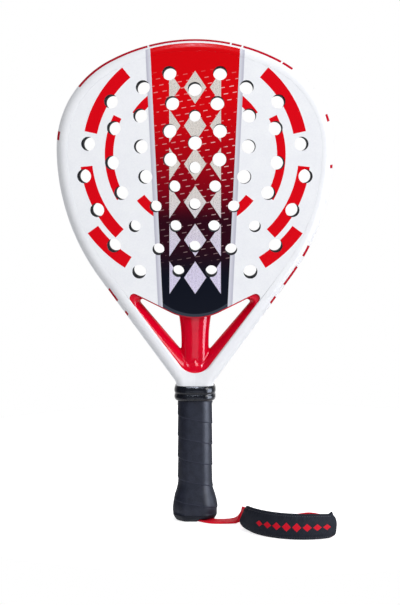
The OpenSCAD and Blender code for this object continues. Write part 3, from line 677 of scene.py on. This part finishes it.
# Handle: two half shells of hard foam glued round the legs of the tube, and the short tape that
# holds the end of the grip. Both are under the wrapping.
shell = Finish("handle_foam", Roughness=0.75)
shell.feed("Base Color", shell.noise(1.2).rise(0.3, 0.7).blend(rgb(70, 72, 76), rgb(98, 100, 104)))
shell.bump(shell.noise(0.8) * 0.08)
film = Finish("black_tape", Roughness=0.4)
film.feed("Base Color", film.noise(0.8).rise(0.3, 0.7).blend(rgb(20, 21, 25), rgb(34, 36, 42)))
film.bump(film.noise(0.5) * 0.02)
under_wrap = [
    ("pallet_front", shell, "handle_foam"), ("pallet_back", shell, "handle_foam"),
    ("finishing_tape", film, "black_tape"),
]
for name, finish, slot in under_wrap:
    dress(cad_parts[name], None, finish, slot)

# Butt cap: a moulded black cup on the end of the handle, flared for the little finger. A bare rim
# shows under the tape, with a slot for the webbing and a channel to one side.
handle_w, handle_depth, bevel, cap_round = 29.4, 24.4, 5.4, 5
# The flare: where it ends above, where it is widest, how far it stands out, and its fall at the foot
flare_top, flare_low, flare_out, flare_fall = 38, 12, 4.9, 6


def octagon(off, round_r, steps=5):
    """The handle's section moved out by off mm, its eight edges rounded, clockwise from above."""
    w, d, c = handle_w / 2 + off, handle_depth / 2 + off, bevel + off * (2 - math.sqrt(2))
    half = np.array([(w, d - c), (w, c - d), (w - c, -d), (c - w, -d)])
    p = np.concatenate([half, -half])
    out = []
    for k in range(8):
        to_a, to_b = p[k - 1] - p[k], p[(k + 1) % 8] - p[k]
        long_a, long_b = np.linalg.norm(to_a), np.linalg.norm(to_b)
        r = min(round_r, 0.45 * min(long_a, long_b) / math.tan(math.pi / 8))
        way = to_a / long_a + to_b / long_b
        inward = way / np.linalg.norm(way)
        centre = p[k] + inward * r / math.cos(math.pi / 8)
        a0 = math.degrees(math.atan2(-inward[1], -inward[0])) + 22.5
        out += [polar(centre, r, a) for a in np.linspace(a0, a0 - 45, steps)]
    return np.array(out)


def flare(z):
    """How far the tape stands out over the butt at a height."""
    if z > flare_top:
        return 0.0
    if z > flare_low:
        return flare_out * (1 + math.cos(math.pi * (z - flare_low) / (flare_top - flare_low))) / 2
    return flare_out - flare_fall * (1 - math.sqrt(1 - (1 - max(z, 0) / flare_low) ** 2))


# Height, and how far the cup's outside stands off the handle
cap_profile = [
    (0, 0.2), (0, 0.6), (0.15, 1.5), (0.5, 2.4), (1, 3.1), (2, 3.9), (3.2, 4.6), (4.6, 5.4), (6.0, 6.0),
    (6.6, 6.1), (6.75, 5.7), (6.8, 4.0), (9, 4.5), (12, 4.6), (20, 3.4), (29.5, 0.6),
]
cap = skin("butt_cup", [np.insert(octagon(off, cap_round), 2, z, axis=1) for z, off in cap_profile])


def cut(obj, plan, low, high):
    """Takes a block with that plan, from low to high in mm, out of a piece."""
    box = skin("cutter", [[(x, y, z) for x, y in plan] for z in (low, high)])
    knife = obj.modifiers.new("cut", "BOOLEAN")
    knife.object, knife.solver = box, "EXACT"
    mesh = bpy.data.meshes.new_from_object(obj.evaluated_get(bpy.context.evaluated_depsgraph_get()))
    obj.modifiers.clear()
    bpy.data.objects.remove(box)
    obj.data = mesh
    return obj


# The channel's plan runs from the middle out to the front and the right
channel, channel_h = [(5.5, 7.2), (48.8, -36.1), (36.1, -48.8), (-7.2, -5.5)], 3.2
cut(cap, channel, -1, channel_h)
plastic = Finish("cap_plastic", Roughness=0.5, Specular_IOR_Level=0.12)
mould = plastic.noise(5) * 0.5 + plastic.noise(0.8) * 0.5
plastic.feed("Base Color", mould.rise(0.3, 0.7).blend(rgb(20, 22, 30), rgb(30, 33, 43)))
plastic.bump(plastic.noise(0.7) * 0.03)
dress(cap, "racket", plastic, "cap_plastic", "butt_cap")
dress(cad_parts["strap_knot"], None, weave, "red_webbing")

# Grip tape: one long strip of soft synthetic leather on felt, wound up the handle from the butt.
# Each turn's lower edge lies over the turn below it and stands a little proud.
# The first turn begins below the cap's rim and is cut level there, the last one under the collar.
tape_pitch, tape_foot, tape_below, tape_head, tape_off, tape_round = 20.2, 6.85, 17.6, 118.4, 1.9, 10
tape_mid = octagon(tape_off, tape_round)
stations = len(tape_mid)
steps = np.linalg.norm(np.roll(tape_mid, -1, axis=0) - tape_mid, axis=1)
travelled = np.concatenate([[0], np.cumsum(steps)])
around_len = travelled[-1]
# Across the strip: distance up from its lower edge, and how far its outside stands off the handle
strip = [
    (0.25, 0.35), (0.06, 0.9), (0.0, 1.35), (0.12, 1.72), (0.45, 1.9), (1.1, 1.96), (2.2, 1.9), (4, 1.8),
    (7, 1.74), (10.5, 1.7), (14, 1.62), (17, 1.52), (19, 1.42), (20.2, 1.36), (20.9, 1.3),
]
tape_rings, tape_run = [], []
tape_from = tape_foot - tape_below
turns = (tape_head - tape_from) / tape_pitch
for s in range(int(turns * stations) + 1):
    j, turn = s % stations, s // stations
    z0 = tape_from + tape_pitch * (turn + travelled[j] / around_len)
    row = []
    for up, off in strip:
        z = min(max(z0 + up, tape_foot), tape_head)
        x, y = octagon(off + flare(z), tape_round)[j]
        row.append((x, y, z))
    tape_rings.append(row)
    tape_run.append((turn * around_len + travelled[j]) * MM)
tape_uv = (np.array(tape_run), np.array([up for up, off in strip]) * MM)
tape = skin("grip_wrap", tape_rings, loop=False, uv=tape_uv)
leather = Finish("grip_tape", Specular_IOR_Level=0, Coat_IOR=2.0, Coat_Roughness=0.46)
hide = leather.cells(0.9, feature="DISTANCE_TO_EDGE")
wear = leather.noise(7) * 0.55 + leather.noise(1.4) * 0.45
# Painted highlight: each turn's proud lower edge is coloured lighter, standing for the light it catches
edge = 1 - leather.v.rise(0.4, 1.6)
tape_ink = wear.rise(0.25, 0.75).blend(rgb(22, 25, 37), rgb(34, 38, 53))
# The tape's colour, lighter at each turn's lower edge as a painted highlight
leather.feed("Base Color", (edge * 0.35).blend(tape_ink, rgb(54, 59, 78)))
leather.feed("Coat Weight", wear * 0.1 + 0.13)
leather.bump(hide.rise(0.0, 0.25) * 0.03 + leather.noise(5) * 0.12)
dress(tape, "racket", leather, "grip_tape", "grip_tape")

# Collar: a soft black ring of moulded rubber with two ribs, rolled down the neck over the end of
# the tape, where its own stretch holds it.
collar_foot, collar_h, collar_t, collar_x, collar_y, collar_r = 116.4, 14.0, 1.9, 17.75, 15.05, 10.0
# Share of the collar's height, and of its thickness
collar_ribs = smooth_path([
    (0, 0), (0, 0.2), (0.05, 0.55), (0.13, 0.84), (0.23, 0.95), (0.33, 0.86), (0.4, 0.66), (0.44, 0.6),
    (0.48, 0.68), (0.57, 0.93), (0.68, 1), (0.79, 0.93), (0.88, 0.72), (0.94, 0.52), (1, 0.2), (1, 0),
], 0.06)


def rounded(w, d, r, steps=9):
    return [
        (sx * (w - r) + r * math.cos(a), sy * (d - r) + r * math.sin(a))
        for q, (sx, sy) in enumerate([(1, 1), (-1, 1), (-1, -1), (1, -1)])
        for a in np.radians(np.linspace(90 * q, 90 * q + 90, steps))
    ]


collar_rings = []
for h, o in collar_ribs:
    off, z = collar_t * o, collar_foot + collar_h * min(max(h, 0), 1)
    plan = rounded(collar_x + off, collar_y + off, collar_r + off)
    collar_rings.append([(x, y, z) for x, y in plan])
collar = skin("rubber_collar", collar_rings)
rubber = Finish("collar_rubber", Specular_IOR_Level=0.3)
dull = rubber.noise(4) * 0.6 + rubber.noise(0.9) * 0.4
rubber.feed("Base Color", dull.rise(0.25, 0.75).blend(rgb(13, 15, 21), rgb(26, 29, 38)))
rubber.feed("Roughness", dull * 0.2 + 0.12)
rubber.bump(rubber.noise(2.4) * 0.1 + rubber.noise(0.6) * 0.015)
dress(collar, "racket", rubber, "collar_rubber", "grip_collar")

# Sleeve: a black padded tube of knitted cloth over foam, slid over the loop's webbing. It is sewn
# flat along both long edges, so it is crowned between its seams.
pad_a0, pad_a1, pad_low = 187.0, 306.3, 0.4
# Share of the sleeve's height, with the degrees cut off its last end and the push on its first end
trim_heights = [0, 0.05, 0.09, 0.15, 0.3, 0.5, 0.65, 0.78, 0.86, 1]
trim_degrees = [3.4, 0.9, 0.3, 0.6, 0.4, 0, 0.5, 1.6, 3.4, 4.0]
push_heights = [0, 0.1, 0.34, 0.5, 0.74, 1]
push_out = [2.2, 3.0, 3.6, 2.2, 0.2, -0.8]


def pad_point(a, off, z):
    x, y = polar(loop_c, loop_r + off, a)
    return (x, y, z)


def pad_top(t):
    return pad_low + mix(22, 24, 1 - abs(2 * t - 1) ** 3)


def end_trim(t, s):
    """Degrees by which the last end is cut back, so that it is rounded above and below."""
    return np.interp(s, trim_heights, trim_degrees) * max(t - 0.93, 0) / 0.07


def end_push(t, s):
    """How far the first end is pushed out, which is most below its middle."""
    return max(1 - t / 0.12, 0) ** 1.5 * np.interp(s, push_heights, push_out)


outer_side = np.linspace(0, 1, 25)
pad_rings, pad_run = [], np.linspace(0, 1, 121)
for t in pad_run:
    a, end = mix(pad_a0, pad_a1, t), abs(2 * t - 1)
    pull = 1 - 0.15 * end ** 12
    foot = 0.45 + (0.5 if t < 0.5 else 1.1) * end ** 14
    top = pad_top(t) - 0.2 - 0.8 * end ** 24 + 3.0 * max(t - 0.94, 0) / 0.06
    pucker = 0.18 * math.sin(t * 190) + 0.12 * math.sin(t * 83 + 1)
    row = []
    for s in outer_side:
        crown = (1 - abs(2 * s - 1) ** 3.2) ** 0.75
        seam = math.exp(-((min(s, 1 - s) - 0.105) / 0.03) ** 2)
        near = math.exp(-((min(s, 1 - s) - 0.16) / 0.07) ** 2)
        out = (1.0 + 3.1 * crown - 0.55 * seam + pucker * near) * pull + end_push(t, s)
        row.append(pad_point(a - end_trim(t, s), out, mix(foot, top, s)))
    for s in outer_side[::-1]:
        crown = (1 - abs(2 * s - 1) ** 4) ** 0.5
        row.append(pad_point(a - end_trim(t, s), -(0.2 + 2.15 * crown) * pull, mix(foot, top, s)))
    pad_rings.append(row)
pad_len = math.radians(pad_a1 - pad_a0) * (loop_r + 4)
pad_sides = np.concatenate([outer_side, outer_side[::-1] + 2, [2]])
pad = skin("wrist_pad", pad_rings, uv=(pad_run * pad_len * MM, pad_sides * MM))
cloth = Finish("pad_cloth", Roughness=0.8, Specular_IOR_Level=0.15)
knit_size = 0.8
wale = cloth.z / knit_size
course = (cloth.u / knit_size * math.pi + wale.floor() * math.pi * 0.5).sin()
knit = abs((wale * math.pi).sin()) * 0.5 + (course * 0.5 + 0.5) * 0.5
fuzz = cloth.noise(5) * 0.4 + cloth.noise(0.8) * 0.3 + knit * 0.3
cloth_ink = fuzz.rise(0.25, 0.8).blend(rgb(16, 18, 27), rgb(34, 38, 49))
# A chain of red lozenges, tallest in its middle
chain_from, chain_pitch, chain_links = 30, 9.5, 8
chain_u = (cloth.u - chain_from) / chain_pitch
chain_lean = 5.2 + abs(chain_u - chain_links / 2) * 0.9
chain = (abs(chain_u.frac() - 0.5) * 2.3 + abs(cloth.v - 0.5) * chain_lean).math("LESS_THAN", 1.0)
chain = chain * chain_u.within(0, chain_links, 0.01)
cloth.feed("Base Color", chain.blend(cloth_ink, rgb(205, 10, 36)))
cloth.bump(knit * 0.1 + cloth.noise(0.6) * 0.04 + chain * 0.1)
dress(pad, "sleeve", cloth, "pad_cloth", "pad_cover")

# Stitches: a row of dark thread along each long edge of the sleeve, which closes its seam. One node
# tree lays them: it sets small rounded stitches along a line.
stitch_gap, stitch_r, stitch_lift, seam_columns = 2.2, 0.28, 0.05, (2, 22)
stitch_sockets = [
    ("Geometry", "NodeSocketGeometry", "INPUT"), ("Spacing", "NodeSocketFloat", "INPUT"),
    ("Radius", "NodeSocketFloat", "INPUT"), ("Material", "NodeSocketMaterial", "INPUT"),
    ("Geometry", "NodeSocketGeometry", "OUTPUT"),
]
stitch_tree = bpy.data.node_groups.new("stitch_row", "GeometryNodeTree")
for name, kind, way in stitch_sockets:
    stitch_tree.interface.new_socket(name, in_out=way, socket_type=kind)
given = stitch_tree.nodes.new("NodeGroupInput").outputs
seam_line, gap, bead_r, dye = (Field(stitch_tree, given[k]) for k in range(4))
seam_curve = seam_line.make("GeometryNodeMeshToCurve", {0: seam_line})
even = seam_curve.make("GeometryNodeResampleCurve", {"Curve": seam_curve, "Length": gap}, mode="LENGTH")
spots = even.make("GeometryNodeCurveToPoints", {"Curve": even}, out="Points", mode="EVALUATED")
along = Field(stitch_tree, spots.socket.node.outputs["Rotation"])
bead = bead_r.make("GeometryNodeMeshIcoSphere", {"Radius": bead_r, "Subdivisions": 2})
long_bead = bead.make("GeometryNodeTransform", {"Geometry": bead, "Scale": (0.8, 0.8, 2.7)})
placing = {"Points": spots, "Instance": long_bead, "Rotation": along}
laid = spots.make("GeometryNodeInstanceOnPoints", placing)
real = laid.make("GeometryNodeRealizeInstances", {0: laid})
done = real.make("GeometryNodeSetMaterial", {"Geometry": real, "Material": dye})
stitch_tree.links.new(done.socket, stitch_tree.nodes.new("NodeGroupOutput").inputs[0])
thread_ink = Finish("pad_thread", Roughness=0.55)
thread_ink.feed("Base Color", thread_ink.noise(0.5).rise(0.3, 0.7).blend(rgb(30, 33, 41), rgb(58, 63, 74)))
thread_ink.bump((thread_ink.x * 9 + thread_ink.z * 9).sin() * 0.02)
seam_points, seam_edges = [], []
for column in seam_columns:
    row = np.array([ring[column] for ring in pad_rings[3:-3]])
    away = row[:, :2] - loop_c
    row[:, :2] += away / np.linalg.norm(away, axis=1)[:, None] * stitch_lift
    seam_edges += [(len(seam_points) + k, len(seam_points) + k + 1) for k in range(len(row) - 1)]
    seam_points += (row * MM).tolist()
seam_mesh = bpy.data.meshes.new("pad_stitches")
seam_mesh.from_pydata(seam_points, seam_edges, [])
stitches = as_object("pad_stitches", seam_mesh)
sewing = stitches.modifiers.new("stitches", "NODES")
sewing.node_group = stitch_tree
stitch_values = {"Spacing": stitch_gap * MM, "Radius": stitch_r * MM, "Material": thread_ink.material}
for item in stitch_tree.interface.items_tree:
    if item.name in stitch_values:
        sewing[item.identifier] = stitch_values[item.name]
sewn = bpy.data.meshes.new_from_object(stitches.evaluated_get(bpy.context.evaluated_depsgraph_get()))
stitches.modifiers.clear()
stitches.data = sewn
dress(stitches, "sleeve", thread_ink, "pad_cloth")

# Sleeve lining: a softer brushed cloth on thin foam, sewn into the sleeve on the side that lies
# against the wrist.
lining_rings = []
for t in np.linspace(0, 1, 91):
    a, end = mix(pad_a0, pad_a1, t), abs(2 * t - 1)
    foot, top = 2.6 + 1.2 * end ** 12, pad_top(t) - 2.2 - 0.6 * end ** 12
    face = [(s, 1 - abs(2 * s - 1) ** 5) for s in np.linspace(0, 1, 13)]
    row = [pad_point(a, -2.5 - 1.3 * max(c, 0) ** 0.5, mix(foot, top, s)) for s, c in face]
    row += [pad_point(a, -2.45, mix(foot, top, s)) for s, c in face[::-1]]
    lining_rings.append(row)
lining_pad = skin("wrist_lining", lining_rings)
fleece = Finish("pad_lining", Roughness=0.9, Specular_IOR_Level=0.15, Sheen_Weight=0.1)
nap = fleece.noise(0.7) * 0.6 + fleece.noise(4) * 0.4
fleece.feed("Base Color", nap.rise(0.25, 0.75).blend(rgb(24, 26, 32), rgb(52, 55, 62)))
fleece.bump(fleece.noise(0.5) * 0.12)
dress(lining_pad, "sleeve", fleece, "pad_lining", "pad_lining")

# Studio: a round pale floor that reads as white, a white surround, a large soft lamp on the right, a
# weaker one on the left, and three lamps that only put shine on the finishes.
floor_c, floor_r, floor_sides, floor_glow = (0.05, 0.25), 0.45, 96, 0.7


def rays(tree, *kinds):
    """1 for rays of these kinds, 0 for the others."""
    path = tree.nodes.new("ShaderNodeLightPath")
    return sum(Field(tree, path.outputs[f"Is {kind} Ray"]) for kind in kinds).least(1)


ground = as_object("floor", bpy.data.meshes.new("floor"))
rim = [(*polar(floor_c, floor_r, a), 0) for a in np.linspace(0, 360, floor_sides, endpoint=False)]
ground.data.from_pydata(rim, [], [range(floor_sides)])
floor_paint = Finish("floor", Base_Color=rgb(236, 237, 240), Specular_IOR_Level=0)
seen = rays(floor_paint.tree, "Camera", "Glossy", "Transmission")
glow = seen.make("ShaderNodeEmission", {"Strength": seen * floor_glow})
matt = Field(floor_paint.tree, floor_paint.shader.outputs[0])
both = glow.make("ShaderNodeAddShader", {0: matt, 1: glow})
floor_paint.tree.links.new(both.socket, floor_paint.tree.nodes["Material Output"].inputs["Surface"])
ground.data.materials.append(floor_paint.material)
world = bpy.data.worlds.new("surround")
scene.world = world
world.use_nodes = True
tree = world.node_tree
direct = rays(tree, "Camera", "Transmission")
mirrored = rays(tree, "Glossy") * (1 - direct)
toward = Field(tree, tree.nodes.new("ShaderNodeTexCoord").outputs["Generated"])
toward_x, toward_y = toward.part(0), toward.part(1)
# White behind the racket, also in its gloss; a dim room in front; soft light from the right and behind
ambient = toward_x.rise(-0.9, 0.9) * 0.42 + toward_y.rise(0.1, 0.8) * 0.6 + 0.27
room = toward_y.rise(0.2, 0.6) * 0.95 + 0.05
strength = direct + mirrored * room + (1 - direct - mirrored) * ambient
background = tree.nodes["Background"]
tree.links.new(strength.socket, background.inputs["Strength"])
background.inputs["Color"].default_value = (1, 1, 1, 1)
# Place in metres, watts, width and height, and whether a lamp lights everything or is only a shine
white, cool, lamp_aim = (1, 1, 1), (0.78, 0.85, 1), Vector((0, 0, 0.2))
lamps = [
    ("key", (1.6, -1.6, 1.3), 38, 1.1, 1.1, True),
    ("fill", (-1.5, -1.6, 0.8), 8, 1.2, 1.2, True),
    ("strip", (1.25, -0.62, 0.05), 62, 1.1, 1.2, False),
    ("panel", (0.02, -1.3, -0.2), 1.2, 0.35, 0.56, False),
    ("spark", (-0.015, -0.75, 1.15), 9, 0.03, 0.7, False),
]
for name, spot, watts, wide, tall, lights_all in lamps:
    lamp = bpy.data.lights.new(name, "AREA")
    lamp.shape, lamp.energy, lamp.size, lamp.size_y = "RECTANGLE", watts, wide, tall
    lamp.color = white if lights_all else cool
    holder = as_object(name, lamp)
    holder.location = spot
    holder.visible_diffuse = lights_all
    holder.visible_glossy = name != "fill"
    holder.rotation_euler = (lamp_aim - Vector(spot)).to_track_quat("-Z", "Y").to_euler()
